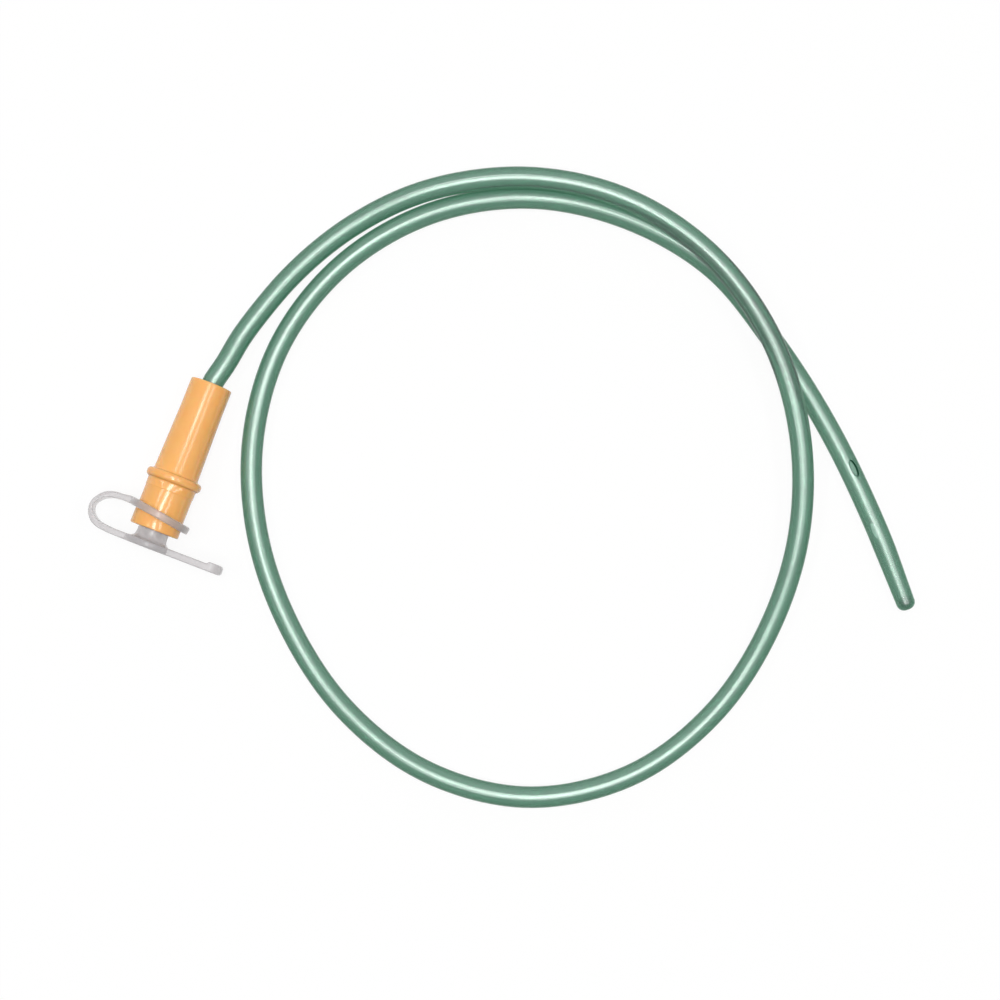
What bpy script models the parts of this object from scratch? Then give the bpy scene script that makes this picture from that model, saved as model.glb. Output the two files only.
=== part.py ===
"""Nasal oxygen catheter: a hollow tube with a closed tip, a funnel connector and its strap cap.

Metres, +Z up. The catheter lies coiled on a flat surface at Z = 0. The funnel connector points its
mouth towards -Y and leans on the rim of the cap's ring, so its axis climbs a little towards the
mouth. The origin is the middle of the connector and its cap, on the surface.
"""

import math

import bmesh
import bpy
from mathutils import Matrix, Vector

# Tube
TUBE_DIAMETER = 0.00533
TUBE_WALL = 0.00075
TIP_ROUND = 0.0014
TIP_WALL = 0.0012
TIP_CONE = 0.0024
TIP_TAPER = 0.0004
TIP_TAPER_LENGTH = 0.0160
EYE_LENGTH = 0.0048
EYE_WIDTH = 0.0023
EYE_FROM_TIP = 0.0385
EYE_TURN_DEG = -17.0
FAR_EYE_FROM_TIP = 0.0210
FAR_EYE_TURN_DEG = 168.0
REST_CLEARANCE = 0.00004
STRAND_CLEARANCE = 0.00033

# Connector, turned about its axis: distances run from the tube's end to the mouth
CONNECTOR_LENGTH = 0.0385
BARREL_END_DIAMETER = 0.0104
BARREL_SLEEVE_LENGTH = 0.0070
BARREL_ROOT_DIAMETER = 0.0112
FLANGE_FROM_END = 0.0241
FLANGE_WIDTH = 0.0021
FLANGE_DIAMETER = 0.0139
SEAT_DIAMETER = 0.0120
STEP_FROM_FLANGE = 0.0022
STEP_HEIGHT = 0.00010
LIP_LENGTH = 0.0038
LIP_DIAMETER = 0.01235
EDGE_ROUND = 0.00035
SOCKET_DEPTH = 0.0120
SOCKET_LEAD = 0.0005
STOP_DIAMETER = 0.0044
STOP_WIDTH = 0.0012
BORE_TOE_DIAMETER = 0.0073
BORE_TOE_LENGTH = 0.0014
MOUTH_DIAMETER = 0.0084

# Cap, one moulding
RING_FROM_MOUTH = 0.0039
RING_DIAMETER = 0.0160
RING_WIDTH = 0.0019
RING_YAW_DEG = 8.5
RING_ROUND = 0.0004
PLUG_DEPTH = 0.0080
PLUG_NOSE_ROUND = 0.0010
PLUG_WELL_DIAMETER = 0.0046
PLUG_WALL = 0.0012
PLATE_STANDOFF = 0.0029
PLATE_THICKNESS = 0.00175
PLATE_DIAMETER = 0.0124
PLATE_ROUND = 0.0004
NECK_FILLET = 0.0014
STRAP_THICKNESS = 0.0016
STRAP_WIDTH = 0.0052
STRAP_REACH = 0.0167
TAB_REACH = 0.0192
TAB_WIDTH = 0.0068
BEAD_LENGTH = 0.0038
BEAD_RISE = 0.0006
BEAD_ROUND = 0.0009

# Clearances between pieces
TUBE_SEAT_CLEARANCE = 0.0003
PLUG_CLEARANCE = 0.0003
RING_CLEARANCE = 0.00045

# Facets
ROUND_STEPS = 48
TUBE_SIDES = 12
TUBE_STATIONS = 76
ARC_STEPS = 4

# The strap edge on, from the ring to the plate: how far out it is, from 0 at the ring to 1 at its
# reach, how far on, from 0 at its root to 1 at the plate's middle, and its share of the thickness
STRAP_PATH = [
    (0.0, 0.0, 1.08),
    (0.08, -0.004, 1.14),
    (0.26, 0.005, 0.90),
    (0.47, 0.022, 0.96),
    (0.65, 0.068, 0.93),
    (0.81, 0.165, 0.78),
    (0.95, 0.341, 0.66),
    (1.0, 0.501, 0.62),
    (0.966, 0.661, 0.70),
    (0.893, 0.786, 0.84),
    (0.775, 0.889, 0.98),
    (0.629, 0.952, 1.03),
    (0.516, 0.969, 1.03),
    (0.325, 0.991, 1.03),
    (0.100, 1.0, 1.03),
]

# The tube's way past the connector: plan position from the connector's tube end, and how far the
# tube is lifted, from 0 on the surface to 1 on top of the strand below it
TUBE_ROUTE = [
    (0.0013, 0.0060, 0.35),
    (0.0024, 0.0131, 0.23),
    (0.0046, 0.0212, 0.15),
    (0.0085, 0.0321, 0.07),
    (0.0176, 0.0482, 0.09),
    (0.0308, 0.0624, 0.36),
    (0.0543, 0.0753, 0.58),
    (0.0804, 0.0788, 0.78),
    (0.1051, 0.0722, 1.00),
    (0.1254, 0.0580, 1.04),
    (0.1396, 0.0388, 0.97),
    (0.1478, 0.0168, 0.62),
    (0.1495, -0.0067, 0.18),
    (0.1445, -0.0308, 0.02),
    (0.1310, -0.0527, 0.0),
    (0.1089, -0.0672, 0.0),
    (0.0829, -0.0702, 0.0),
    (0.0586, -0.0629, 0.0),
    (0.0388, -0.0488, 0.0),
    (0.0236, -0.0308, 0.0),
    (0.0140, -0.0090, 0.0),
    (0.0119, 0.0152, 0.0),
    (0.0189, 0.0389, 0.0),
    (0.0344, 0.0585, 0.0),
    (0.0561, 0.0709, 0.0),
    (0.0805, 0.0749, 0.0),
    (0.1048, 0.0710, 0.0),
    (0.1261, 0.0589, 0.0),
    (0.1460, 0.0440, 0.0),
    (0.1639, 0.0272, 0.0),
    (0.1800, 0.00964, 0.0),
]

# Worked out from the sizes above
TUBE_RADIUS = TUBE_DIAMETER / 2
LUMEN_RADIUS = TUBE_RADIUS - TUBE_WALL
SOCKET_RADIUS = TUBE_RADIUS + TUBE_SEAT_CLEARANCE
TUBE_END = SOCKET_DEPTH - TUBE_SEAT_CLEARANCE
FLANGE_END = FLANGE_FROM_END + FLANGE_WIDTH
STEP_AT = FLANGE_END + STEP_FROM_FLANGE
LIP_AT = CONNECTOR_LENGTH - LIP_LENGTH
STOP_END = SOCKET_DEPTH + STOP_WIDTH
BORE_AT = STOP_END + BORE_TOE_LENGTH
RING_AT = CONNECTOR_LENGTH - RING_FROM_MOUTH
RING_HOLE_RADIUS = LIP_DIAMETER / 2 + RING_CLEARANCE
RING_MIDDLE_RADIUS = (RING_DIAMETER / 2 + RING_HOLE_RADIUS) / 2
PLUG_NOSE_AT = CONNECTOR_LENGTH - PLUG_DEPTH
PLATE_AT = CONNECTOR_LENGTH + PLATE_STANDOFF
PLATE_MIDDLE = PLATE_AT + PLATE_THICKNESS / 2
PLATE_BACK = PLATE_AT + PLATE_THICKNESS
STRAP_ROOT_AT = RING_AT - RING_MIDDLE_RADIUS * math.tan(math.radians(RING_YAW_DEG))
STRAP_MIDDLE_REACH = STRAP_REACH - STRAP_THICKNESS * min(share for _, _, share in STRAP_PATH) / 2

# The connector rests on the edge of its barrel and on the ring's rim
REST_RADIUS_RISE = (RING_DIAMETER - BARREL_END_DIAMETER) / 2
REST_SPAN = RING_AT - RING_WIDTH / 2 + RING_ROUND - EDGE_ROUND
LEAN = math.atan2(REST_RADIUS_RISE, REST_SPAN)
AXIS_HEIGHT = BARREL_END_DIAMETER / 2 * math.cos(LEAN) - EDGE_ROUND * math.sin(LEAN)
PLAN_LENGTH = PLATE_BACK * math.cos(LEAN) + (PLATE_DIAMETER - BARREL_END_DIAMETER) / 2 * math.sin(LEAN)
TUBE_END_PLAN = Vector(((STRAP_REACH - TAB_REACH) / 2, PLAN_LENGTH / 2, 0.0))


def arc(center, radius, start_deg, end_deg, steps=ARC_STEPS):
    """Points along an arc in a profile's plane, both ends included."""
    points = []
    for i in range(steps + 1):
        angle = math.radians(start_deg + (end_deg - start_deg) * i / steps)
        points.append((center[0] + radius * math.cos(angle), center[1] + radius * math.sin(angle)))
    return points


def smooth_curve(points, steps):
    """A Catmull-Rom curve through points, its ends led on straight."""
    chain = [points[0] * 2 - points[1]] + points + [points[-1] * 2 - points[-2]]
    curve = []
    for i in range(1, len(chain) - 2):
        before, start, end, after = chain[i - 1 : i + 3]
        for j in range(steps):
            t = j / steps
            curve.append(
                0.5
                * (
                    start * 2
                    + (end - before) * t
                    + (before * 2 - start * 5 + end * 4 - after) * t ** 2
                    + (start * 3 - before - end * 3 + after) * t ** 3
                )
            )
    return curve + [points[-1]]


def material(name, rgb, roughness, transmission):
    """A Principled material for one moulding."""
    made = bpy.data.materials.new(name)
    made.use_nodes = True
    made.diffuse_color = (*rgb, 1.0)
    shader = made.node_tree.nodes["Principled BSDF"]
    shader.inputs["Base Color"].default_value = (*rgb, 1.0)
    shader.inputs["Roughness"].default_value = roughness
    shader.inputs["Metallic"].default_value = 0.0
    shader.inputs["Transmission Weight"].default_value = transmission
    return made


def new_object(name, mesh, parent=None):
    """A named object on the scene's collection."""
    made = bpy.data.objects.new(name, mesh)
    bpy.context.scene.collection.objects.link(made)
    made.parent = parent
    return made


def as_helper(thing):
    """Marks a shape that only cuts or joins another one."""
    thing.hide_render = True
    thing.display_type = "WIRE"
    return thing


def shade_round(thing):
    """Smooth sides with crisp edges where a form turns sharply."""
    thing.data.shade_smooth()
    thing.data.set_sharp_from_angle(angle=math.radians(40))


def turned(name, profile, parent, closed):
    """Turns a profile of (distance along the axis, radius) about the parent's Z axis."""
    mesh = bpy.data.meshes.new(name)
    edges = [(i, i + 1) for i in range(len(profile) - 1)]
    if closed:
        edges.append((len(profile) - 1, 0))
    mesh.from_pydata([(radius, 0.0, along) for along, radius in profile], edges, [])
    made = new_object(name, mesh, parent)
    screw = made.modifiers.new("turn", "SCREW")
    screw.axis = "Z"
    screw.steps = ROUND_STEPS
    screw.render_steps = ROUND_STEPS
    screw.use_merge_vertices = True
    screw.merge_threshold = 0.000001
    screw.use_smooth_shade = True
    return made


def extruded(name, outline, low, high, parent, to_space):
    """Extrudes a closed outline from low to high; to_space places (u, v, depth) in the parent."""
    mesh = bpy.data.meshes.new(name)
    shape = bmesh.new()
    corners = [shape.verts.new(to_space(u, v, low)) for u, v in outline]
    face = shape.faces.new(corners)
    moved = bmesh.ops.extrude_face_region(shape, geom=[face])
    step = Vector(to_space(0.0, 0.0, high)) - Vector(to_space(0.0, 0.0, low))
    raised = [item for item in moved["geom"] if isinstance(item, bmesh.types.BMVert)]
    bmesh.ops.translate(shape, verts=raised, vec=step)
    bmesh.ops.recalc_face_normals(shape, faces=shape.faces)
    shape.to_mesh(mesh)
    shape.free()
    return new_object(name, mesh, parent)


def join(base, other, operation):
    """Adds a Boolean between a base and a helper shape."""
    boolean = base.modifiers.new(other.name, "BOOLEAN")
    boolean.operation = operation
    boolean.solver = "EXACT"
    boolean.object = as_helper(other)


def connector_profile():
    """The connector's section: outer side from mouth to tube end, then back along its bore."""
    end_radius = BARREL_END_DIAMETER / 2
    root_radius = BARREL_ROOT_DIAMETER / 2
    flange_radius = FLANGE_DIAMETER / 2
    seat_radius = SEAT_DIAMETER / 2
    lip_radius = LIP_DIAMETER / 2
    flange_round = FLANGE_WIDTH * 0.38
    root_fillet = EDGE_ROUND
    points = [(CONNECTOR_LENGTH, MOUTH_DIAMETER / 2 + EDGE_ROUND / 2)]
    points += arc((CONNECTOR_LENGTH - EDGE_ROUND, lip_radius - EDGE_ROUND), EDGE_ROUND, 0, 90)
    points += [(LIP_AT, lip_radius), (LIP_AT - EDGE_ROUND, seat_radius)]
    points += [(STEP_AT, seat_radius), (STEP_AT - STEP_HEIGHT, seat_radius + STEP_HEIGHT)]
    points += [(FLANGE_END + root_fillet, seat_radius + STEP_HEIGHT)]
    points += [(FLANGE_END, seat_radius + STEP_HEIGHT + root_fillet)]
    points += arc((FLANGE_END - flange_round, flange_radius - flange_round), flange_round, 0, 90)
    points += arc((FLANGE_FROM_END + flange_round, flange_radius - flange_round), flange_round, 90, 180)
    points += [(FLANGE_FROM_END, root_radius + root_fillet), (FLANGE_FROM_END - root_fillet, root_radius)]
    points += [(BARREL_SLEEVE_LENGTH, end_radius)]
    points += arc((EDGE_ROUND, end_radius - EDGE_ROUND), EDGE_ROUND, 90, 180)
    points += [(0.0, SOCKET_RADIUS + SOCKET_LEAD), (SOCKET_LEAD, SOCKET_RADIUS)]
    points += [(SOCKET_DEPTH, SOCKET_RADIUS), (SOCKET_DEPTH, STOP_DIAMETER / 2)]
    points += [(STOP_END, STOP_DIAMETER / 2), (BORE_AT, BORE_TOE_DIAMETER / 2)]
    points += [(CONNECTOR_LENGTH - EDGE_ROUND / 2, MOUTH_DIAMETER / 2)]
    return points


def bore_radius(along):
    """The funnel's radius at a distance from the tube's end."""
    share = (along - BORE_AT) / (CONNECTOR_LENGTH - EDGE_ROUND / 2 - BORE_AT)
    return (BORE_TOE_DIAMETER + (MOUTH_DIAMETER - BORE_TOE_DIAMETER) * share) / 2


def plug_profile():
    """Half the section of plug, neck and plate, from the plate's back round to the nose's well."""
    neck_radius = bore_radius(CONNECTOR_LENGTH - EDGE_ROUND) - PLUG_CLEARANCE
    nose_radius = bore_radius(PLUG_NOSE_AT) - PLUG_CLEARANCE
    plate_radius = PLATE_DIAMETER / 2
    well_radius = PLUG_WELL_DIAMETER / 2
    points = [(PLATE_BACK, 0.0)]
    points += arc((PLATE_BACK - PLATE_ROUND, plate_radius - PLATE_ROUND), PLATE_ROUND, 0, 90)
    points += arc((PLATE_AT + PLATE_ROUND, plate_radius - PLATE_ROUND), PLATE_ROUND, 90, 180)
    points += arc((PLATE_AT - NECK_FILLET, neck_radius + NECK_FILLET), NECK_FILLET, 0, -90)
    points += arc((PLUG_NOSE_AT + PLUG_NOSE_ROUND, nose_radius - PLUG_NOSE_ROUND), PLUG_NOSE_ROUND, 90, 180)
    points += [(PLUG_NOSE_AT, well_radius), (PLATE_AT - PLUG_WALL, well_radius * 0.9)]
    points += [(PLATE_AT - PLUG_WALL, 0.0)]
    return points


def ring_profile():
    """The ring's section, its distances measured from its middle."""
    half = RING_WIDTH / 2
    outer = RING_DIAMETER / 2
    points = arc((half - RING_ROUND, outer - RING_ROUND), RING_ROUND, 0, 90)
    points += arc((RING_ROUND - half, outer - RING_ROUND), RING_ROUND, 90, 180)
    points += arc((RING_ROUND / 2 - half, RING_HOLE_RADIUS + RING_ROUND / 2), RING_ROUND / 2, 180, 270, 2)
    points += arc((half - RING_ROUND / 2, RING_HOLE_RADIUS + RING_ROUND / 2), RING_ROUND / 2, 270, 360, 2)
    return points


def ring_bore_profile():
    """A plug a little narrower than the ring's middle, which clears the strap's end from the hole."""
    reach = RING_WIDTH * 2
    radius = RING_MIDDLE_RADIUS - RING_ROUND
    return [(reach, 0.0), (reach, radius), (-reach, radius), (-reach, 0.0)]


def strap_outline():
    """The strap edge on: out from the ring, round a slanting bend and back into the plate."""
    points = []
    for out, on, share in STRAP_PATH:
        x = RING_MIDDLE_RADIUS + (STRAP_MIDDLE_REACH - RING_MIDDLE_RADIUS) * out
        along = STRAP_ROOT_AT + (PLATE_MIDDLE - STRAP_ROOT_AT) * on
        points.append(Vector((-x, along, STRAP_THICKNESS * share / 2)))
    end_x = PLATE_DIAMETER / 2 - PLATE_ROUND - STRAP_THICKNESS / 2
    points.append(Vector((-end_x, PLATE_MIDDLE, points[-1].z)))
    line = smooth_curve(points, 3)
    outer, inner = [], []
    for i, point in enumerate(line):
        ahead = line[min(i + 1, len(line) - 1)]
        behind = line[max(i - 1, 0)]
        run = Vector((ahead.x - behind.x, ahead.y - behind.y)).normalized()
        outer.append((point.x + run.y * -point.z, point.y + run.x * point.z))
        inner.append((point.x - run.y * -point.z, point.y - run.x * point.z))
    return outer + inner[::-1]


def tab_side():
    """The tab edge on: a flat blade with a raised bead across its end."""
    inner_x = PLATE_DIAMETER / 2 - PLATE_ROUND - PLATE_THICKNESS / 2
    bead_x = TAB_REACH - BEAD_LENGTH
    bead_top = PLATE_AT - BEAD_RISE
    side = [(inner_x, PLATE_BACK), (inner_x, PLATE_AT)]
    side += arc((bead_x + BEAD_RISE, PLATE_AT), BEAD_RISE, 180, 270)
    side += arc((TAB_REACH - BEAD_ROUND, bead_top + BEAD_ROUND), BEAD_ROUND, 270, 360, 6)
    side += arc((TAB_REACH - BEAD_ROUND, PLATE_BACK - BEAD_ROUND), BEAD_ROUND, 0, 90, 6)
    return side


def tab_plan():
    """The tab from behind: straight sides and a round end."""
    half = TAB_WIDTH / 2
    corner = half * 0.8
    inner_x = PLATE_DIAMETER / 2 - PLATE_ROUND - PLATE_THICKNESS
    outline = [(inner_x, half), (inner_x, -half)]
    outline += arc((TAB_REACH - corner, corner - half), corner, -90, 0, 6)
    outline += arc((TAB_REACH - corner, half - corner), corner, 0, 90, 6)
    return outline


def make_connector(axis):
    connector = turned("funnel_connector", connector_profile(), axis, closed=True)
    connector.data.materials.append(material("orange moulding", (0.88, 0.42, 0.12), 0.25, 0.0))
    return connector


def make_cap(axis):
    """Plug, plate, tab, strap and ring, joined into the one moulding they are."""
    cap = turned("strap_cap", plug_profile(), axis, closed=False)
    tab = extruded(
        "tab",
        tab_side(),
        -TAB_WIDTH / 2 - PLATE_ROUND,
        TAB_WIDTH / 2 + PLATE_ROUND,
        axis,
        lambda u, v, depth: (u, depth, v),
    )
    plan = extruded(
        "tab_plan",
        tab_plan(),
        PLATE_AT - BEAD_RISE * 2,
        PLATE_BACK + BEAD_RISE,
        axis,
        lambda u, v, depth: (u, v, depth),
    )
    strap = extruded(
        "strap",
        strap_outline(),
        -STRAP_WIDTH / 2,
        STRAP_WIDTH / 2,
        axis,
        lambda u, v, depth: (u, depth, v),
    )
    ring = turned("ring", ring_profile(), axis, closed=True)
    ring.location = (0.0, 0.0, RING_AT)
    ring.rotation_euler = (0.0, math.radians(-RING_YAW_DEG), 0.0)
    bore = turned("ring_bore", ring_bore_profile(), ring, closed=False)
    join(tab, plan, "INTERSECT")
    join(strap, bore, "DIFFERENCE")
    join(cap, tab, "UNION")
    join(cap, strap, "UNION")
    join(cap, ring, "UNION")
    cap.data.materials.append(material("clear grey moulding", (0.70, 0.68, 0.70), 0.35, 0.3))
    return cap


def point_along(curve, lengths, distance):
    """The point at a distance along a dense curve."""
    for i in range(1, len(curve)):
        if lengths[i] >= distance or i == len(curve) - 1:
            share = (distance - lengths[i - 1]) / (lengths[i] - lengths[i - 1])
            return curve[i - 1].lerp(curve[i], share)


def tube_centreline(axis_matrix):
    """The tube's centreline: straight in the socket, then along its route to the tip."""
    seated = [axis_matrix @ Vector((0.0, 0.0, along)) for along in (TUBE_END, TUBE_END / 2, 0.0)]
    floor = TUBE_RADIUS + REST_CLEARANCE
    lift = TUBE_DIAMETER + STRAND_CLEARANCE
    route = [TUBE_END_PLAN + Vector((x, y, floor + rise * lift)) for x, y, rise in TUBE_ROUTE]
    dense = smooth_curve(seated[1:] + route, 16)[16:]
    lengths = [0.0]
    for before, after in zip(dense, dense[1:]):
        lengths.append(lengths[-1] + (after - before).length)
    count = TUBE_STATIONS - 1
    return seated[:2] + [point_along(dense, lengths, lengths[-1] * i / count) for i in range(count + 1)]


def frames_along(centres):
    """A tangent and two side directions at each centre, carried along without twist."""
    tangents = []
    for i in range(len(centres)):
        ahead = centres[min(i + 1, len(centres) - 1)]
        behind = centres[max(i - 1, 0)]
        tangents.append((ahead - behind).normalized())
    up = Vector((0.0, 0.0, 1.0))
    side = tangents[0].cross(up).normalized()
    frames = []
    for tangent in tangents:
        side = (side - tangent * side.dot(tangent)).normalized()
        frames.append((tangent, side, side.cross(tangent)))
    return frames


def ring_points(centre, frame, radius):
    _, side, up = frame
    points = []
    for i in range(TUBE_SIDES):
        angle = math.tau * i / TUBE_SIDES
        points.append(centre + side * (radius * math.cos(angle)) + up * (radius * math.sin(angle)))
    return points


def skin(shape, rings):
    """Quads between neighbouring rings of vertices."""
    for low, high in zip(rings, rings[1:]):
        for i in range(TUBE_SIDES):
            j = (i + 1) % TUBE_SIDES
            shape.faces.new((low[i], low[j], high[j], high[i]))


def narrowing(from_tip):
    """How much the tube's walls draw in towards its tip."""
    return TIP_TAPER * max(0.0, 1.0 - from_tip / TIP_TAPER_LENGTH)


def wall_rings(shape, centres, frames, radius, end):
    """Rings of one wall of the tube, from its open end to an end of (distance from the tip, radius)."""
    tip, frame = centres[-1], frames[-1]
    rings = []
    for centre, station in zip(centres[:-1], frames[:-1]):
        reach = radius - narrowing((tip - centre).length)
        rings.append([shape.verts.new(point) for point in ring_points(centre, station, reach)])
    for along, around in end:
        centre = tip - frame[0] * along
        rings.append([shape.verts.new(point) for point in ring_points(centre, frame, around)])
    pole = shape.verts.new(tip - frame[0] * end[-1][0])
    for i in range(TUBE_SIDES):
        shape.faces.new((rings[-1][i], rings[-1][(i + 1) % TUBE_SIDES], pole))
    return rings


def make_tube(axis_matrix):
    """The hollow tube, its two walls joined by the cut face at the open end."""
    centres = tube_centreline(axis_matrix)
    frames = frames_along(centres)
    shape = bmesh.new()
    tip_radius = TUBE_RADIUS - narrowing(0.0)
    dome = arc((TIP_ROUND, tip_radius - TIP_ROUND), TIP_ROUND, 90, 180, 5)[:-1]
    dome.append((0.0, tip_radius - TIP_ROUND))
    cone_at = TIP_WALL + TIP_CONE
    cone = [(cone_at, LUMEN_RADIUS - narrowing(cone_at)), (TIP_WALL, LUMEN_RADIUS * 0.2)]
    outer = wall_rings(shape, centres, frames, TUBE_RADIUS, dome)
    inner = wall_rings(shape, centres, frames, LUMEN_RADIUS, cone)
    skin(shape, outer)
    skin(shape, inner)
    skin(shape, [outer[0], inner[0]])
    bmesh.ops.recalc_face_normals(shape, faces=shape.faces)
    mesh = bpy.data.meshes.new("catheter_tube")
    shape.to_mesh(mesh)
    shape.free()
    tube = new_object("catheter_tube", mesh)
    shade_round(tube)
    tube.data.materials.append(material("green tubing", (0.20, 0.38, 0.30), 0.2, 0.6))
    for name, from_tip, turn_deg in (
        ("side_eye", EYE_FROM_TIP, EYE_TURN_DEG),
        ("far_side_eye", FAR_EYE_FROM_TIP, FAR_EYE_TURN_DEG),
    ):
        join(tube, eye_cutter(name, centres, from_tip, turn_deg), "DIFFERENCE")
    return tube


def eye_cutter(name, centres, from_tip, turn_deg):
    """An oval punch that goes through one wall of the tube, turned from the top about its axis."""
    back = list(reversed(centres))
    lengths = [0.0]
    for before, after in zip(back, back[1:]):
        lengths.append(lengths[-1] + (after - before).length)
    centre = point_along(back, lengths, from_tip)
    along = (point_along(back, lengths, from_tip - EYE_LENGTH) - centre).normalized()
    side = along.cross(Vector((0.0, 0.0, 1.0))).normalized()
    out = Matrix.Rotation(math.radians(turn_deg), 3, along) @ side.cross(along)
    across = out.cross(along)
    outline = [
        (EYE_LENGTH / 2 * math.cos(math.tau * i / 16), EYE_WIDTH / 2 * math.sin(math.tau * i / 16))
        for i in range(16)
    ]

    def place(u, v, depth):
        return centre + along * u + across * v + out * depth

    return extruded(name, outline, 0.0, TUBE_DIAMETER, None, place)


def main():
    for thing in list(bpy.data.objects):
        bpy.data.objects.remove(thing, do_unlink=True)
    axis = new_object("connector_axis", None)
    axis.location = TUBE_END_PLAN + Vector((0.0, 0.0, AXIS_HEIGHT))
    axis.rotation_euler = (math.pi / 2 - LEAN, 0.0, 0.0)
    bpy.context.view_layer.update()
    make_connector(axis)
    make_cap(axis)
    make_tube(axis.matrix_world.copy())


main()
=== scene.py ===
import math

import bmesh
import bpy
from mathutils import Matrix, Vector


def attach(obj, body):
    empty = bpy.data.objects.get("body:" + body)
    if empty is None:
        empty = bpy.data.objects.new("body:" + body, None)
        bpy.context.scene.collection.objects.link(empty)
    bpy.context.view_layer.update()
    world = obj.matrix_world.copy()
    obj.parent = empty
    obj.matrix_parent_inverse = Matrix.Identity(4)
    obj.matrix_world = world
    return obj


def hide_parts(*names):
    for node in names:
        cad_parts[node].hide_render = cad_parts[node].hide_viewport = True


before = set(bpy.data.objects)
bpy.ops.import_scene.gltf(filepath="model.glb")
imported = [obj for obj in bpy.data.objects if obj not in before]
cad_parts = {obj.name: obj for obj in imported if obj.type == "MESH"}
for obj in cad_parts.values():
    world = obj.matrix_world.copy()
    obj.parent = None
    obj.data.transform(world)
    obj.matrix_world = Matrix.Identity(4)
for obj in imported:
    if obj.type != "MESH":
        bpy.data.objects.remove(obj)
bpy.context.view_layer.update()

# Sizes of the tube, in metres
TUBE_RADIUS = 0.002665
TUBE_WALL = 0.00075
TUBE_SEAT = 0.0117
TIP_ROUND = 0.0018
TIP_WALL = 0.0012
TIP_CONE = 0.0024
TIP_TAPER = 0.0004
TIP_TAPER_LENGTH = 0.0160
EYE_LENGTH = 0.0041
EYE_WIDTH = 0.0014
EYE_RIM = 0.0004
EYE_FROM_TIP = 0.0374
EYE_TURN = math.radians(-17)
FAR_EYE_FROM_TIP = 0.0210
FAR_EYE_TURN = math.radians(168)

# The lumen's closing cone: the share of the radius that it takes, and how its side bends
CONE_SHARE = 0.85
CONE_BEND = 1.4

# The punch of an eye: its length in tube radii, and the shares of the rim's round where it starts and ends
PUNCH_LENGTH = 1.4
RIM_START = 0.85
RIM_END = 0.96

# Sizes of the connector: places along its axis from the tube end, and radii
SOCKET_DEPTH = 0.0120
STOP_END = 0.0132
BORE_AT = 0.0146
BARREL_END = 0.0070
FLANGE_AT = 0.0241
FLANGE_END = 0.0262
STEP_AT = 0.0284
LIP_AT = 0.0347
CONNECTOR_LENGTH = 0.0385
SOCKET_RADIUS = 0.002965
STOP_RADIUS = 0.0022
BORE_TOE_RADIUS = 0.00365
MOUTH_RADIUS = 0.0042
BARREL_RADIUS = 0.0052
FLANGE_BACK_RADIUS = 0.0062
FLANGE_CREST_RADIUS = 0.00615
STEP_RADIUS = 0.0061
SEAT_RADIUS = 0.0060
LIP_RADIUS = 0.006175
EDGE_ROUND = 0.00035
FLANGE_ROUND = 0.0008
FLANGE_BACK_FILLET = 0.0006
FLANGE_FRONT_FILLET = 0.0005

# The connector's axis: its tube end, and its lean from lying flat to resting on the cap's ring
AXIS_START = Vector((-0.00125, 0.021542, 0.005153))
LEAN = math.radians(4.74957)
AXIS_FRAME = Matrix.Translation(AXIS_START) @ Matrix.Rotation(math.pi / 2 - LEAN, 4, "X")

# How far the photograph is turned about the vertical, and the middle of the coil in it
PHOTO_TURN = math.radians(20.9547)
COIL_MIDDLE = Vector((0.0755, 0.020, 0.0))


# Camera

def add_camera():
    """Straight above, turned so that the connector leans to the left as in the photograph."""
    lens = bpy.data.cameras.new("overhead")
    lens.sensor_width = 36.0
    lens.lens = 79.85
    lens.clip_start = 0.01
    camera = bpy.data.objects.new("overhead", lens)
    camera.location = (0.07502, 0.02037, 0.550)
    camera.rotation_euler = (0.0, 0.0, PHOTO_TURN)
    bpy.context.scene.collection.objects.link(camera)
    bpy.context.scene.camera = camera


add_camera()


# Colours and nodes

WHITE = (1.0, 1.0, 1.0, 1.0)


def srgb(code, alpha=1.0):
    """A linear colour from an sRGB hex value."""
    parts = [int(code[i:i + 2], 16) / 255 for i in (1, 3, 5)]
    linear = [p / 12.92 if p <= 0.04045 else ((p + 0.055) / 1.055) ** 2.4 for p in parts]
    return (*linear, alpha)


def node(tree, kind, inputs=None, **settings):
    """Adds a node with its settings and its inputs, by name or number.

    An input is given a value, a socket, or a node, whose first output it then takes.
    """
    made = tree.nodes.new(kind)
    for name, value in settings.items():
        setattr(made, name, value)
    for key, value in (inputs or {}).items():
        if isinstance(value, bpy.types.Node):
            value = value.outputs[0]
        if isinstance(value, bpy.types.NodeSocket):
            tree.links.new(value, made.inputs[key])
        else:
            made.inputs[key].default_value = value
    return made


def new_material(name):
    """An empty node material, with its tree and its output."""
    made = bpy.data.materials.new(name)
    made.use_nodes = True
    made.node_tree.nodes.clear()
    return made, made.node_tree, made.node_tree.nodes.new("ShaderNodeOutputMaterial")


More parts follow.
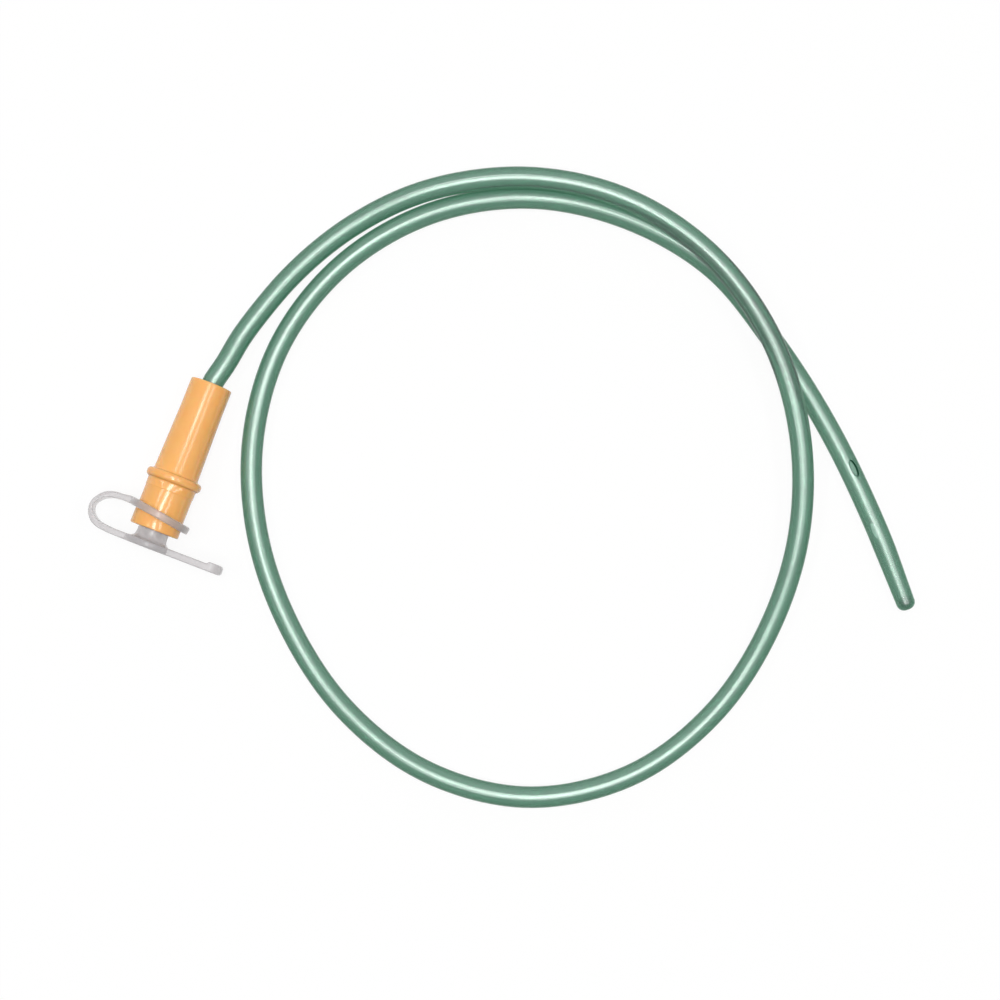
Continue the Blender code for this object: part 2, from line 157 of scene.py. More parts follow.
def soft_pvc_tubing():
    """Plasticised PVC, extruded and tinted sea green: clear, glossy, a little oily to the eye.

    Light crosses two walls, so the middle is pale and the sides, where the wall is seen on edge, go
    dark. The die leaves faint lines along the tube.
    """
    made, tree, output = new_material("soft_pvc_tubing")
    place = node(tree, "ShaderNodeAttribute", attribute_name="straight")
    # Die lines, drawn about 0.5 mm apart round the tube and 60 mm long
    lines = node(tree, "ShaderNodeMapping", {0: place.outputs["Vector"], "Scale": (2000.0, 2000.0, 16.0)})
    die = node(tree, "ShaderNodeTexNoise", {"Vector": lines, "Scale": 1.0, "Detail": 2.0})
    rough = node(tree, "ShaderNodeMapRange", {"Value": die, "To Min": 0.05, "To Max": 0.12})
    bump = node(tree, "ShaderNodeBump", {"Height": die, "Strength": 0.7, "Distance": 0.00012})
    # The oily film shows most where it is looked at straight
    slant = node(tree, "ShaderNodeLayerWeight", {"Blend": 0.5})
    film = node(tree, "ShaderNodeMapRange", {
        "Value": slant.outputs["Facing"], "From Min": 0.08, "From Max": 0.38, "To Min": 1.0, "To Max": 0.28,
    })
    skin = {
        "Roughness": rough,
        "IOR": 1.10,
        "Coat Weight": film,
        "Coat IOR": 2.0,
        "Coat Roughness": 0.34,
        "Normal": bump,
        "Coat Normal": bump,
    }
    clear = node(tree, "ShaderNodeBsdfPrincipled", {
        **skin, "Base Color": srgb("#E8F6EF"), "Transmission Weight": 1.0,
    })
    # The plasticiser's haze throws some green light back
    haze = node(tree, "ShaderNodeBsdfPrincipled", {**skin, "Base Color": srgb("#A2C9BC")})
    mix = node(tree, "ShaderNodeMixShader", {0: 0.18, 1: clear, 2: haze})
    tint = node(tree, "ShaderNodeVolumeAbsorption", {"Color": (0.0, 0.46, 0.25, 1.0), "Density": 1000.0})
    tree.links.new(mix.outputs[0], output.inputs["Surface"])
    tree.links.new(tint.outputs[0], output.inputs["Volume"])
    return made


def punched_pvc_painted_shade():
    """The punched edge of an eye: the same PVC, cut, so matt; its base colour is far darker than the tube's,
    a painted shade for the wall seen on edge.
    """
    made, tree, output = new_material("punched_pvc_painted_shade")
    place = node(tree, "ShaderNodeTexCoord")
    # Drag marks of the punch, about 0.3 mm apart
    drag = node(tree, "ShaderNodeTexNoise", {"Vector": place.outputs["Object"], "Scale": 3300.0})
    rough = node(tree, "ShaderNodeMapRange", {"Value": drag, "To Min": 0.35, "To Max": 0.55})
    shader = node(tree, "ShaderNodeBsdfPrincipled", {
        # The dark green base is painted shade: the cut wall seen on edge, darker than the tube's own colour
        "Base Color": srgb("#2E5C48"),
        "Roughness": rough,
        "IOR": 1.10,
        "Transmission Weight": 0.35,
    })
    tint = node(tree, "ShaderNodeVolumeAbsorption", {"Color": (0.0, 0.44, 0.26, 1.0), "Density": 1080.0})
    tree.links.new(shader.outputs[0], output.inputs["Surface"])
    tree.links.new(tint.outputs[0], output.inputs["Volume"])
    return made


def moulded_orange_pvc():
    """Injection-moulded semi-rigid PVC, opaque orange: glossy from a polished mould."""
    made, tree, output = new_material("moulded_orange_pvc")
    place = node(tree, "ShaderNodeTexCoord").outputs["Object"]
    # Flow marks of the melt, about 3 mm across, and a fine mould skin, drawn at 0.25 mm
    flow = node(tree, "ShaderNodeTexNoise", {"Vector": place, "Scale": 330.0, "Detail": 3.0})
    skin = node(tree, "ShaderNodeTexNoise", {"Vector": place, "Scale": 4000.0})
    colour = node(tree, "ShaderNodeMix", {
        0: flow, 6: srgb("#ECAA60"), 7: srgb("#F0B770"),
    }, data_type="RGBA")
    # The mould is a little less polished along the barrel than from the flange to the mouth
    reach = node(tree, "ShaderNodeSeparateXYZ", {0: place})
    matt = node(tree, "ShaderNodeMapRange", {
        "Value": reach.outputs[1], "From Min": -0.0045, "From Max": -0.0030, "To Min": 0.16, "To Max": 0.20,
    })
    rough = node(tree, "ShaderNodeMapRange", {"Value": flow, "To Min": 0.0, "To Max": 0.06})
    rough = node(tree, "ShaderNodeMath", {0: rough, 1: matt}, operation="ADD")
    bump = node(tree, "ShaderNodeBump", {"Height": skin, "Strength": 0.15, "Distance": 0.00002})
    shader = node(tree, "ShaderNodeBsdfPrincipled", {
        "Base Color": colour.outputs[2],
        "Roughness": rough,
        "IOR": 1.5,
        "Subsurface Weight": 0.35,
        "Subsurface Radius": (1.0, 0.35, 0.1),
        "Subsurface Scale": 0.0012,
        "Normal": bump,
    })
    tree.links.new(shader.outputs[0], output.inputs["Surface"])
    return made


def moulded_clear_polyethylene():
    """Injection-moulded low-density polyethylene, unpigmented: milky, waxy and see-through where thin."""
    made, tree, output = new_material("moulded_clear_polyethylene")
    place = node(tree, "ShaderNodeTexCoord").outputs["Object"]
    # Haze that thickens and thins over about 4 mm, and a waxy skin drawn at 0.3 mm
    haze = node(tree, "ShaderNodeTexNoise", {"Vector": place, "Scale": 250.0, "Detail": 3.0})
    skin = node(tree, "ShaderNodeTexNoise", {"Vector": place, "Scale": 3300.0})
    clear = node(tree, "ShaderNodeMapRange", {"Value": haze, "To Min": 0.50, "To Max": 0.60})
    # Seen at a slant the milky wall is thicker, so less clear
    slant = node(tree, "ShaderNodeLayerWeight", {"Blend": 0.5})
    through = node(tree, "ShaderNodeMapRange", {
        "Value": slant.outputs["Facing"], "From Min": 0.4, "To Min": 1.0, "To Max": 0.35,
    })
    clear = node(tree, "ShaderNodeMath", {0: clear, 1: through}, operation="MULTIPLY")
    rough = node(tree, "ShaderNodeMapRange", {"Value": haze, "To Min": 0.26, "To Max": 0.36})
    bump = node(tree, "ShaderNodeBump", {"Height": skin, "Strength": 0.2, "Distance": 0.00003})
    shader = node(tree, "ShaderNodeBsdfPrincipled", {
        "Base Color": srgb("#D9D6D7"),
        "Roughness": rough,
        "IOR": 1.3,
        "Transmission Weight": 0.3,
        "Coat Weight": 1.0,
        "Coat IOR": 1.5,
        "Coat Roughness": 0.3,
        "Subsurface Weight": 0.3,
        "Subsurface Radius": (1.0, 0.9, 0.9),
        "Subsurface Scale": 0.0008,
        "Normal": bump,
    })
    # The milk of the plastic, which greys what is seen through more than a few millimetres of it
    milk = node(tree, "ShaderNodeVolumeAbsorption", {"Color": (0.06, 0.0, 0.02, 1.0), "Density": 75.0})
    straight = node(tree, "ShaderNodeBsdfTransparent")
    mix = node(tree, "ShaderNodeMixShader", {0: clear, 1: shader, 2: straight})
    tree.links.new(mix.outputs[0], output.inputs["Surface"])
    tree.links.new(milk.outputs[0], output.inputs["Volume"])
    return made


# The tube, a free cord

# Plan position from the connector's tube end, and the lift from the surface (0) to a strand's top (1)
TUBE_ROUTE = [
    (0.0013, 0.0060, 0.35), (0.0024, 0.0131, 0.23), (0.0046, 0.0212, 0.15), (0.0085, 0.0321, 0.07),
    (0.0176, 0.0482, 0.09), (0.03088, 0.06229, 0.36), (0.04184, 0.0696, 0.47),
    (0.05434, 0.07513, 0.58), (0.08039, 0.07863, 0.78), (0.1051, 0.0722, 1.00), (0.1254, 0.0580, 1.04),
    (0.1396, 0.0388, 0.97), (0.1478, 0.0168, 0.62), (0.1495, -0.0067, 0.18), (0.1445, -0.0308, 0.02),
    (0.1310, -0.0527, 0.0), (0.1089, -0.0672, 0.0), (0.0829, -0.0702, 0.0), (0.0586, -0.0629, 0.0),
    (0.0388, -0.0488, 0.0), (0.0236, -0.0308, 0.0), (0.0140, -0.0090, 0.0), (0.0119, 0.0152, 0.0),
    (0.01908, 0.03881, 0.0), (0.03453, 0.05835, 0.0), (0.0561, 0.0709, 0.0), (0.0805, 0.0749, 0.0),
    (0.1048, 0.0710, 0.0), (0.1261, 0.0589, 0.0), (0.1460, 0.0440, 0.0), (0.1639, 0.0272, 0.0),
    (0.1800, 0.00964, 0.0),
]
STRAND_STEP = 0.00566
FLOOR_GAP = 0.00004
CUT_END_SPARE = 0.001
SPAN_STEPS = 24
STATION_GAP = 0.002
TIP_STATIONS = 14

# The named inputs of the tube's rule
TUBE_INPUTS = {
    "Outer radius": TUBE_RADIUS,
    "Wall": TUBE_WALL,
    "Tip round": TIP_ROUND,
    "Tip wall": TIP_WALL,
    "Tip cone": TIP_CONE,
    "Tip taper": TIP_TAPER,
    "Tip taper length": TIP_TAPER_LENGTH,
    "Cut end spare": CUT_END_SPARE,
    "Eye length": EYE_LENGTH,
    "Eye width": EYE_WIDTH,
    "Eye rim": EYE_RIM,
    "Eye from tip": EYE_FROM_TIP,
    "Eye turn": EYE_TURN,
    "Far eye from tip": FAR_EYE_FROM_TIP,
    "Far eye turn": FAR_EYE_TURN,
    "Sides": 48,
}


def route_points():
    """The route in metres, from the seat in the connector to the tip."""
    seated = [AXIS_FRAME @ Vector((0.0, 0.0, along)) for along in (TUBE_SEAT / 2, 0.0)]
    plan = AXIS_START.copy()
    plan.z = TUBE_RADIUS + FLOOR_GAP
    return seated + [plan + Vector((x, y, rise * STRAND_STEP)) for x, y, rise in TUBE_ROUTE]


def smooth_path(points):
    """A curve through points; the nearer neighbour of a point has more say in its direction there."""
    gaps = [(b - a).length for a, b in zip(points, points[1:])]
    chords = [(b - a) / gap for a, b, gap in zip(points, points[1:], gaps)]
    slopes = [chords[0]]
    for i in range(1, len(gaps)):
        slopes.append((chords[i - 1] * gaps[i] + chords[i] * gaps[i - 1]) / (gaps[i - 1] + gaps[i]))
    slopes.append(chords[-1])
    path = []
    for i, gap in enumerate(gaps):
        for j in range(SPAN_STEPS):
            t = j / SPAN_STEPS
            bend = t * t * (3 - 2 * t)
            leave = slopes[i] * (gap * t * (1 - t) ** 2)
            arrive = slopes[i + 1] * (gap * t * t * (t - 1))
            path.append(points[i] * (1 - bend) + points[i + 1] * bend + leave + arrive)
    return path + [points[-1]]


def tube_stations():
    """Centreline points 2 mm apart, closer where the tip's dome and the lumen's end curve."""
    dense = smooth_path(route_points())
    start = AXIS_FRAME @ Vector((0.0, 0.0, TUBE_SEAT + CUT_END_SPARE))
    dense = [start, dense[0]] + dense[SPAN_STEPS:]
    lengths = [0.0]
    for before, after in zip(dense, dense[1:]):
        lengths.append(lengths[-1] + (after - before).length)
    total = lengths[-1]
    body = total - TIP_WALL - TIP_CONE
    shares = [k / TIP_STATIONS for k in range(TIP_STATIONS + 1)]
    dome = [total - TIP_ROUND * (1 - math.cos(math.pi / 2 * share)) for share in shares]
    cone = [total - TIP_WALL - TIP_CONE * share ** 1.5 for share in shares]
    count = round(body / STATION_GAP)
    straight = [body * k / count for k in range(count)]
    stations = []
    at = 1
    for distance in sorted({round(wanted, 7) for wanted in straight + dome + cone}):
        while at < len(lengths) - 1 and lengths[at] < distance:
            at += 1
        share = (distance - lengths[at - 1]) / (lengths[at] - lengths[at - 1])
        stations.append(dense[at - 1].lerp(dense[at], share))
    return stations


def tube_rule(finish, cut_edge_painted_shade):
    """The rule of the tube: two swept walls with shaped ends, the inner one and the eyes cut out.

    Lengths are in metres and under 1, so a clamped difference is one that stops at 0.
    """
    tree = bpy.data.node_groups.new("catheter_tube_rule", "GeometryNodeTree")
    tree.interface.new_socket("Centreline", in_out="INPUT", socket_type="NodeSocketGeometry")
    sockets = {}
    for name, value in TUBE_INPUTS.items():
        kind = "NodeSocketInt" if isinstance(value, int) else "NodeSocketFloat"
        sockets[name] = tree.interface.new_socket(name, in_out="INPUT", socket_type=kind).identifier
    tree.interface.new_socket("Tube", in_out="OUTPUT", socket_type="NodeSocketGeometry")
    given = node(tree, "NodeGroupInput").outputs
    outer_radius = given["Outer radius"]

    def narrowed(radius, from_tip):
        """A radius, less the tip's taper."""
        loss = node(tree, "ShaderNodeMapRange", {
            "Value": from_tip,
            "From Max": given["Tip taper length"],
            "To Min": given["Tip taper"],
            "To Max": 0.0,
        })
        return node(tree, "ShaderNodeMath", {0: radius, 1: loss}, operation="SUBTRACT")

    def domed(radius, from_end):
        """The outer wall's radius: tapered, with a quarter round at the end."""
        corner = given["Tip round"]
        inside = node(tree, "ShaderNodeMath", {0: corner, 1: from_end}, operation="SUBTRACT", use_clamp=True)
        inside = node(tree, "ShaderNodeMath", {0: inside, 1: inside}, operation="MULTIPLY")
        square = node(tree, "ShaderNodeMath", {0: corner, 1: corner}, operation="MULTIPLY")
        left = node(tree, "ShaderNodeMath", {0: square, 1: inside}, operation="SUBTRACT", use_clamp=True)
        reach = node(tree, "ShaderNodeMath", {0: left}, operation="SQRT")
        fall = node(tree, "ShaderNodeMath", {0: corner, 1: reach}, operation="SUBTRACT")
        return node(tree, "ShaderNodeMath", {0: narrowed(radius, from_end), 1: fall}, operation="SUBTRACT")

    def coned(radius, from_end):
        """The lumen's radius: tapered, then closing in a blunt cone."""
        closing = node(tree, "ShaderNodeMapRange", {
            "Value": from_end, "From Max": given["Tip cone"], "To Min": 1.0, "To Max": 0.0,
        })
        bend = node(tree, "ShaderNodeMath", {0: closing, 1: CONE_BEND}, operation="POWER")
        share = node(tree, "ShaderNodeMath", {0: bend, 1: -CONE_SHARE, 2: 1.0}, operation="MULTIPLY_ADD")
        from_tip = node(tree, "ShaderNodeMath", {0: from_end, 1: given["Tip wall"]}, operation="ADD")
        return node(tree, "ShaderNodeMath", {0: narrowed(radius, from_tip), 1: share}, operation="MULTIPLY")

    def wall(curve, radius, shaped):
        """A wall swept along a curve, which keeps each point's place on the straight tube."""
        along = node(tree, "GeometryNodeSplineParameter").outputs["Length"]
        total = node(tree, "GeometryNodeCurveLength", {0: curve})
        from_end = node(tree, "ShaderNodeMath", {0: total, 1: along}, operation="SUBTRACT")
        circle = node(tree, "GeometryNodeCurvePrimitiveCircle", {
            "Resolution": given["Sides"], "Radius": 1.0,
        })
        marked = node(tree, "GeometryNodeStoreNamedAttribute", {
            "Geometry": circle, "Name": "round", "Value": node(tree, "GeometryNodeInputPosition"),
        }, data_type="FLOAT_VECTOR", domain="POINT")
        run = node(tree, "GeometryNodeStoreNamedAttribute", {
            "Geometry": curve, "Name": "along", "Value": along,
        }, data_type="FLOAT", domain="POINT")
        swept = node(tree, "GeometryNodeCurveToMesh", {
            "Curve": run, "Profile Curve": marked, "Scale": shaped(radius, from_end), "Fill Caps": True,
        })
        turn = node(tree, "GeometryNodeInputNamedAttribute", {"Name": "round"}, data_type="FLOAT_VECTOR")
        distance = node(tree, "GeometryNodeInputNamedAttribute", {"Name": "along"}, data_type="FLOAT")
        lift = node(tree, "ShaderNodeCombineXYZ", {2: distance})
        across = node(tree, "ShaderNodeVectorMath", {0: turn, "Scale": radius}, operation="SCALE")
        straight = node(tree, "ShaderNodeVectorMath", {0: across, 1: lift})
        return node(tree, "GeometryNodeStoreNamedAttribute", {
            "Geometry": swept, "Name": "straight", "Value": straight,
        }, data_type="FLOAT_VECTOR", domain="CORNER")

    def eye(curve, from_tip, turn, edge):
        """The punch of an eye: an oval rod from the axis out, that flares at the skin for a rolled rim."""
        rim = given["Eye rim"]
        total = node(tree, "GeometryNodeCurveLength", {0: curve})
        at = node(tree, "ShaderNodeMath", {0: total, 1: from_tip}, operation="SUBTRACT")
        spot = node(tree, "GeometryNodeSampleCurve", {"Curves": curve, "Length": at}, mode="LENGTH")
        depth = node(tree, "ShaderNodeMath", {0: outer_radius, 1: PUNCH_LENGTH}, operation="MULTIPLY")
        rod = node(tree, "GeometryNodeMeshCylinder", {
            "Vertices": 56, "Side Segments": 40, "Radius": 1.0, "Depth": depth,
        })
        position = node(tree, "GeometryNodeInputPosition")
        place = node(tree, "ShaderNodeSeparateXYZ", {0: position}).outputs
        # The height over the tube's axis, and how far into the rim's quarter round that is
        height = node(tree, "ShaderNodeMath", {
            0: outer_radius, 1: PUNCH_LENGTH / 2, 2: place[2],
        }, operation="MULTIPLY_ADD")
        start = node(tree, "ShaderNodeMath", {
            0: rim, 1: -RIM_START, 2: outer_radius,
        }, operation="MULTIPLY_ADD")
        into = node(tree, "ShaderNodeMath", {0: height, 1: start}, operation="SUBTRACT", use_clamp=True)
        most = node(tree, "ShaderNodeMath", {0: rim, 1: RIM_END}, operation="MULTIPLY")
        into = node(tree, "ShaderNodeMath", {0: into, 1: most}, operation="MINIMUM")
        # The flare that the quarter round has there
        into = node(tree, "ShaderNodeMath", {0: into, 1: into}, operation="MULTIPLY")
        square = node(tree, "ShaderNodeMath", {0: rim, 1: rim}, operation="MULTIPLY")
        inside = node(tree, "ShaderNodeMath", {0: square, 1: into}, operation="SUBTRACT")
        reach = node(tree, "ShaderNodeMath", {0: inside}, operation="SQRT")
        flare = node(tree, "ShaderNodeMath", {0: rim, 1: reach}, operation="SUBTRACT")
        halves = [
            node(tree, "ShaderNodeMath", {0: given[size], 1: 0.5, 2: flare}, operation="MULTIPLY_ADD")
            for size in ("Eye length", "Eye width")
        ]
        x = node(tree, "ShaderNodeMath", {0: place[0], 1: halves[0]}, operation="MULTIPLY")
        y = node(tree, "ShaderNodeMath", {0: place[1], 1: halves[1]}, operation="MULTIPLY")
        # Each level of the rod follows the round of the tube
        square = node(tree, "ShaderNodeMath", {0: outer_radius, 1: outer_radius}, operation="MULTIPLY")
        aside = node(tree, "ShaderNodeMath", {0: y, 1: y}, operation="MULTIPLY")
        left = node(tree, "ShaderNodeMath", {0: square, 1: aside}, operation="SUBTRACT")
        crown = node(tree, "ShaderNodeMath", {0: left}, operation="SQRT")
        drop = node(tree, "ShaderNodeMath", {0: crown, 1: outer_radius}, operation="SUBTRACT")
        z = node(tree, "ShaderNodeMath", {0: height, 1: drop}, operation="ADD")
        shaped = node(tree, "GeometryNodeSetPosition", {
            "Geometry": rod, "Position": node(tree, "ShaderNodeCombineXYZ", {0: x, 1: y, 2: z}),
        })
        level = node(tree, "FunctionNodeAxesToRotation", {
            0: spot.outputs["Tangent"], 1: (0.0, 0.0, 1.0),
        }, primary_axis="X", secondary_axis="Z")
        twist = node(tree, "FunctionNodeAxisAngleToRotation", {"Axis": (1.0, 0.0, 0.0), "Angle": turn})
        turned = node(tree, "FunctionNodeRotateRotation", {0: level, 1: twist}, rotation_space="LOCAL")
        placed = node(tree, "GeometryNodeTransform", {
            "Geometry": shaped, "Translation": spot.outputs["Position"], "Rotation": turned,
        })
        return node(tree, "GeometryNodeSetMaterial", {"Geometry": placed, "Material": edge})

    centreline = node(tree, "GeometryNodeMeshToCurve", {0: given["Centreline"]})
    # At the cut end the lumen's solid stands out of the tube by the spare; 10 m is past any tip
    outer_run = node(tree, "GeometryNodeTrimCurve", {
        0: centreline, 4: given["Cut end spare"], 5: 10.0,
    }, mode="LENGTH")
    total = node(tree, "GeometryNodeCurveLength", {0: centreline})
    lumen_end = node(tree, "ShaderNodeMath", {0: total, 1: given["Tip wall"]}, operation="SUBTRACT")
    inner_run = node(tree, "GeometryNodeTrimCurve", {
        0: centreline, 4: 0.0, 5: lumen_end,
    }, mode="LENGTH")
    inner_radius = node(tree, "ShaderNodeMath", {0: outer_radius, 1: given["Wall"]}, operation="SUBTRACT")
    outer = wall(outer_run, outer_radius, domed)
    inner = wall(inner_run, inner_radius, coned)
    tube = node(tree, "GeometryNodeSetMaterial", {"Geometry": outer, "Material": finish})
    for cutter in (
        node(tree, "GeometryNodeSetMaterial", {"Geometry": inner, "Material": finish}),
        eye(outer_run, given["Eye from tip"], given["Eye turn"], cut_edge_painted_shade),
        eye(outer_run, given["Far eye from tip"], given["Far eye turn"], finish),
    ):
        tube = node(tree, "GeometryNodeMeshBoolean", {
            "Mesh 1": tube, "Mesh 2": cutter,
        }, operation="DIFFERENCE", solver="EXACT")
    real = node(tree, "GeometryNodeRealizeInstances", {0: tube})
    node(tree, "NodeGroupOutput", {0: real})
    return tree, sockets


def make_tube(finish, cut_edge_painted_shade):
    """The tube's rule run on its centreline, kept as one plain mesh."""
    stations = tube_stations()
    line = bpy.data.meshes.new("tube_centreline")
    line.from_pydata(stations, [(i, i + 1) for i in range(len(stations) - 1)], [])
    rule_holder = bpy.data.objects.new("tube_centreline", line)
    bpy.context.scene.collection.objects.link(rule_holder)
    tree, sockets = tube_rule(finish, cut_edge_painted_shade)
    rule = rule_holder.modifiers.new("tube_rule", "NODES")
    rule.node_group = tree
    for name, value in TUBE_INPUTS.items():
        rule[sockets[name]] = value
    graph = bpy.context.evaluated_depsgraph_get()
    mesh = bpy.data.meshes.new_from_object(rule_holder.evaluated_get(graph))
    mesh.name = "tubing"
    bpy.data.objects.remove(rule_holder, do_unlink=True)
    mesh.shade_smooth()
    mesh.set_sharp_from_angle(angle=math.radians(42))
    tube = bpy.data.objects.new("tubing", mesh)
    bpy.context.scene.collection.objects.link(tube)
    return tube, stations


tubing, stations = make_tube(soft_pvc_tubing(), punched_pvc_painted_shade())
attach(tubing, "catheter")
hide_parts("catheter_tube")


# Connector and cap

def arc(center, radius, start_deg, end_deg, steps=8):
    """Points along an arc in a profile's plane, both ends included."""
    angles = [math.radians(start_deg + (end_deg - start_deg) * i / steps) for i in range(steps + 1)]
    return [(center[0] + radius * math.cos(a), center[1] + radius * math.sin(a)) for a in angles]


def lathe(name, profile, steps=160):
    """Turns a closed profile of (distance along the axis, radius) about the connector's axis."""
    shape = bmesh.new()
    rings = []
    for i in range(steps):
        angle = math.tau * i / steps
        turn = Vector((math.cos(angle), math.sin(angle), 0.0))
        places = [AXIS_FRAME @ (turn * radius + Vector((0.0, 0.0, along))) for along, radius in profile]
        rings.append([shape.verts.new(place) for place in places])
    for low, high in zip(rings, rings[1:] + rings[:1]):
        for i in range(len(profile)):
            j = (i + 1) % len(profile)
            shape.faces.new((low[i], low[j], high[j], high[i]))
    bmesh.ops.recalc_face_normals(shape, faces=shape.faces)
    mesh = bpy.data.meshes.new(name)
    shape.to_mesh(mesh)
    shape.free()
    mesh.shade_smooth()
    mesh.set_sharp_from_angle(angle=math.radians(35))
    made = bpy.data.objects.new(name, mesh)
    bpy.context.scene.collection.objects.link(made)
    return made


def make_connector(finish):
    """The funnel connector, turned: barrel, flange rib, cap seat with its fine step, mouth lip.

    The small steps of 0.02 to 0.5 mm beside the named places ease the lip, the step and the socket.
    """
    mouth = [(CONNECTOR_LENGTH, MOUTH_RADIUS + EDGE_ROUND / 2)]
    mouth += arc((CONNECTOR_LENGTH - EDGE_ROUND, LIP_RADIUS - EDGE_ROUND), EDGE_ROUND, 0, 90)
    mouth += [(LIP_AT + 0.0002, LIP_RADIUS), (LIP_AT - 0.00015, SEAT_RADIUS + 0.00002)]
    seat = [(LIP_AT - 0.0004, SEAT_RADIUS), (STEP_AT + 0.0001, SEAT_RADIUS)]
    seat += [(STEP_AT, SEAT_RADIUS + 0.00002), (STEP_AT - 0.0001, STEP_RADIUS)]
    front = FLANGE_END + FLANGE_FRONT_FILLET
    flange = [(front, STEP_RADIUS)]
    flange += arc((front, STEP_RADIUS + FLANGE_FRONT_FILLET), FLANGE_FRONT_FILLET, 270, 180, 5)
    flange += arc((FLANGE_END - FLANGE_ROUND, FLANGE_CREST_RADIUS), FLANGE_ROUND, 0, 90)
    flange += arc((FLANGE_AT + FLANGE_ROUND, FLANGE_CREST_RADIUS), FLANGE_ROUND, 90, 180)
    flange += arc((FLANGE_AT - FLANGE_BACK_FILLET, FLANGE_BACK_RADIUS), FLANGE_BACK_FILLET, 0, -90, 5)
    barrel = [(BARREL_END, BARREL_RADIUS)]
    barrel += arc((EDGE_ROUND, BARREL_RADIUS - EDGE_ROUND), EDGE_ROUND, 90, 180)
    socket = [(0.0, SOCKET_RADIUS + 0.0005), (0.0005, SOCKET_RADIUS)]
    socket += [(SOCKET_DEPTH, SOCKET_RADIUS), (SOCKET_DEPTH, STOP_RADIUS)]
    bore = [(STOP_END, STOP_RADIUS), (BORE_AT, BORE_TOE_RADIUS)]
    bore += [(CONNECTOR_LENGTH - EDGE_ROUND / 2, MOUTH_RADIUS)]
    connector = lathe("connector", mouth + seat + flange + barrel + socket + bore)
    connector.data.materials.append(finish)
    return connector


def make_cap(finish):
    """The strap cap: its solid's form with the soft corners that a moulding has."""
    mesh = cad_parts["strap_cap"].data.copy()
    mesh.name = "cap"
    mesh.materials.clear()
    shape = bmesh.new()
    shape.from_mesh(mesh)
    bmesh.ops.remove_doubles(shape, verts=shape.verts, dist=0.000002)
    shape.to_mesh(mesh)
    shape.free()
    cap = bpy.data.objects.new("cap", mesh)
    bpy.context.scene.collection.objects.link(cap)
    remesh = cap.modifiers.new("melt", "REMESH")
    remesh.mode = "VOXEL"
    remesh.voxel_size = 0.00017
    remesh.adaptivity = 0.0
    ease = cap.modifiers.new("ease", "SMOOTH")
    ease.factor = 0.5
    ease.iterations = 5
    graph = bpy.context.evaluated_depsgraph_get()
    finished = bpy.data.meshes.new_from_object(cap.evaluated_get(graph))
    cap.modifiers.clear()
    cap.data = finished
    finished.materials.clear()
    finished.materials.append(finish)
    finished.shade_smooth()
    return cap


connector = make_connector(moulded_orange_pvc())
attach(connector, "catheter")
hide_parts("funnel_connector")

cap = make_cap(moulded_clear_polyethylene())
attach(cap, "cap")
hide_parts("strap_cap")


# Floor, world and lamps

PAPER_REACH = 4.0
SOFTBOX_LENGTH = 0.62
SOFTBOX_HEIGHT = 1.2

# Each lamp's place to the left or right of the coil's middle, its width and its radiance
SOFTBOXES = {
    "softbox_left": (-0.60, 0.16, 10.5),
    "softbox_middle": (-0.03, 0.20, 21.0),
    "softbox_right": (0.55, 0.16, 10.0),
}


def background_rays(tree):
    """1 for rays that look at the background: from the camera, a reflection or through plastic."""
    path = node(tree, "ShaderNodeLightPath").outputs
    seen = node(tree, "ShaderNodeMath", {
        0: path["Is Camera Ray"], 1: path["Is Glossy Ray"],
    }, operation="MAXIMUM")
    return node(tree, "ShaderNodeMath", {0: seen, 1: path["Is Transmission Ray"]}, operation="MAXIMUM")


def make_floor():
    """White paper: it shows as white and keeps a faint shadow."""
    mesh = bpy.data.meshes.new("paper")
    corners = [(-PAPER_REACH, -PAPER_REACH, 0), (PAPER_REACH, -PAPER_REACH, 0)]
    corners += [(PAPER_REACH, PAPER_REACH, 0), (-PAPER_REACH, PAPER_REACH, 0)]
    mesh.from_pydata(corners, [], [(0, 1, 2, 3)])
    made, tree, output = new_material("studio_paper")
    paper = node(tree, "ShaderNodeBsdfDiffuse", {"Color": srgb("#F2F2F1")})
    glow = node(tree, "ShaderNodeEmission", {"Color": WHITE, "Strength": 1.0})
    # What the background rays see is plain white for the most part, and lit paper for the rest
    share = node(tree, "ShaderNodeMath", {0: background_rays(tree), 1: 0.91}, operation="MULTIPLY")
    mix = node(tree, "ShaderNodeMixShader", {0: share, 1: paper, 2: glow})
    tree.links.new(mix.outputs[0], output.inputs["Surface"])
    mesh.materials.append(made)
    floor = bpy.data.objects.new("paper", mesh)
    bpy.context.scene.collection.objects.link(floor)


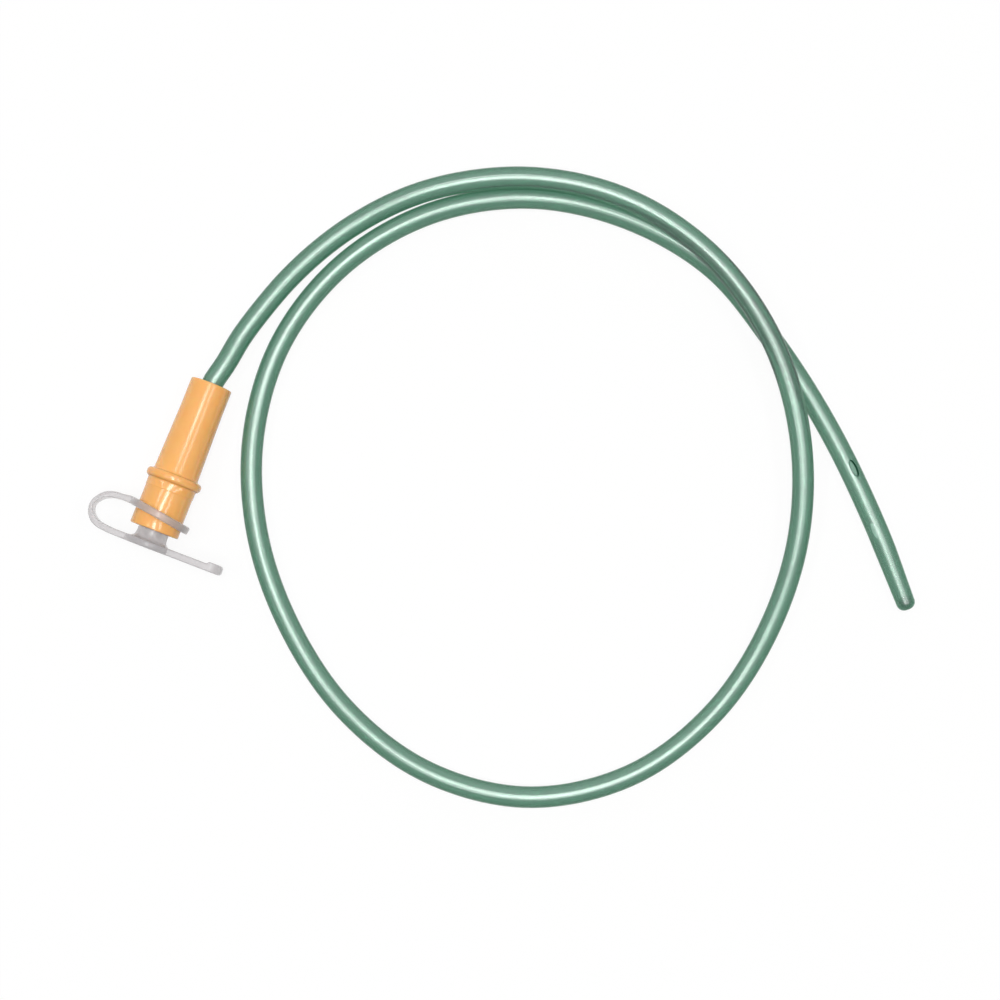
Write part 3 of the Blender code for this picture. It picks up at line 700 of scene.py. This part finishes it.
def make_world():
    """A soft dome, brighter overhead than at the horizon, that shows as white behind the floor."""
    world = bpy.data.worlds.new("studio")
    bpy.context.scene.world = world
    world.use_nodes = True
    tree = world.node_tree
    tree.nodes.clear()
    output = tree.nodes.new("ShaderNodeOutputWorld")
    place = node(tree, "ShaderNodeTexCoord").outputs["Generated"]
    height = node(tree, "ShaderNodeSeparateXYZ", {0: place})
    overhead = node(tree, "ShaderNodeMapRange", {"Value": height.outputs[2], "To Min": 0.02, "To Max": 0.24})
    # A window side, towards the top of the photograph
    toward = node(tree, "ShaderNodeVectorMath", {0: place, 1: (-0.357, 0.934, 0.0)}, operation="DOT_PRODUCT")
    window = node(tree, "ShaderNodeMapRange", {
        "Value": toward.outputs["Value"], "From Max": 0.9, "To Min": 0.0, "To Max": 0.55,
    })
    level = node(tree, "ShaderNodeMath", {0: overhead, 1: window}, operation="ADD")
    dome = node(tree, "ShaderNodeBackground", {"Color": WHITE, "Strength": level})
    white = node(tree, "ShaderNodeBackground", {"Color": WHITE, "Strength": 1.0})
    camera_ray = node(tree, "ShaderNodeLightPath").outputs["Is Camera Ray"]
    mix = node(tree, "ShaderNodeMixShader", {0: camera_ray, 1: dome, 2: white})
    tree.links.new(mix.outputs[0], output.inputs["Surface"])


def add_softbox(name, across, width, radiance):
    """A rectangular lamp over the coil, placed and turned in the photograph's directions."""
    lamp = bpy.data.lights.new(name, "AREA")
    lamp.shape = "RECTANGLE"
    lamp.size = width
    lamp.size_y = SOFTBOX_LENGTH
    lamp.energy = radiance * math.pi * width * SOFTBOX_LENGTH
    turn = Matrix.Rotation(PHOTO_TURN, 4, "Z")
    middle = COIL_MIDDLE + turn @ Vector((across, 0.0, 0.0))
    box = bpy.data.objects.new(name, lamp)
    box.matrix_world = Matrix.Translation((middle.x, middle.y, SOFTBOX_HEIGHT)) @ turn
    box.visible_camera = False
    bpy.context.scene.collection.objects.link(box)


make_floor()
make_world()
for name, (across, width, radiance) in SOFTBOXES.items():
    add_softbox(name, across, width, radiance)

bpy.context.scene.view_settings.view_transform = "Standard"
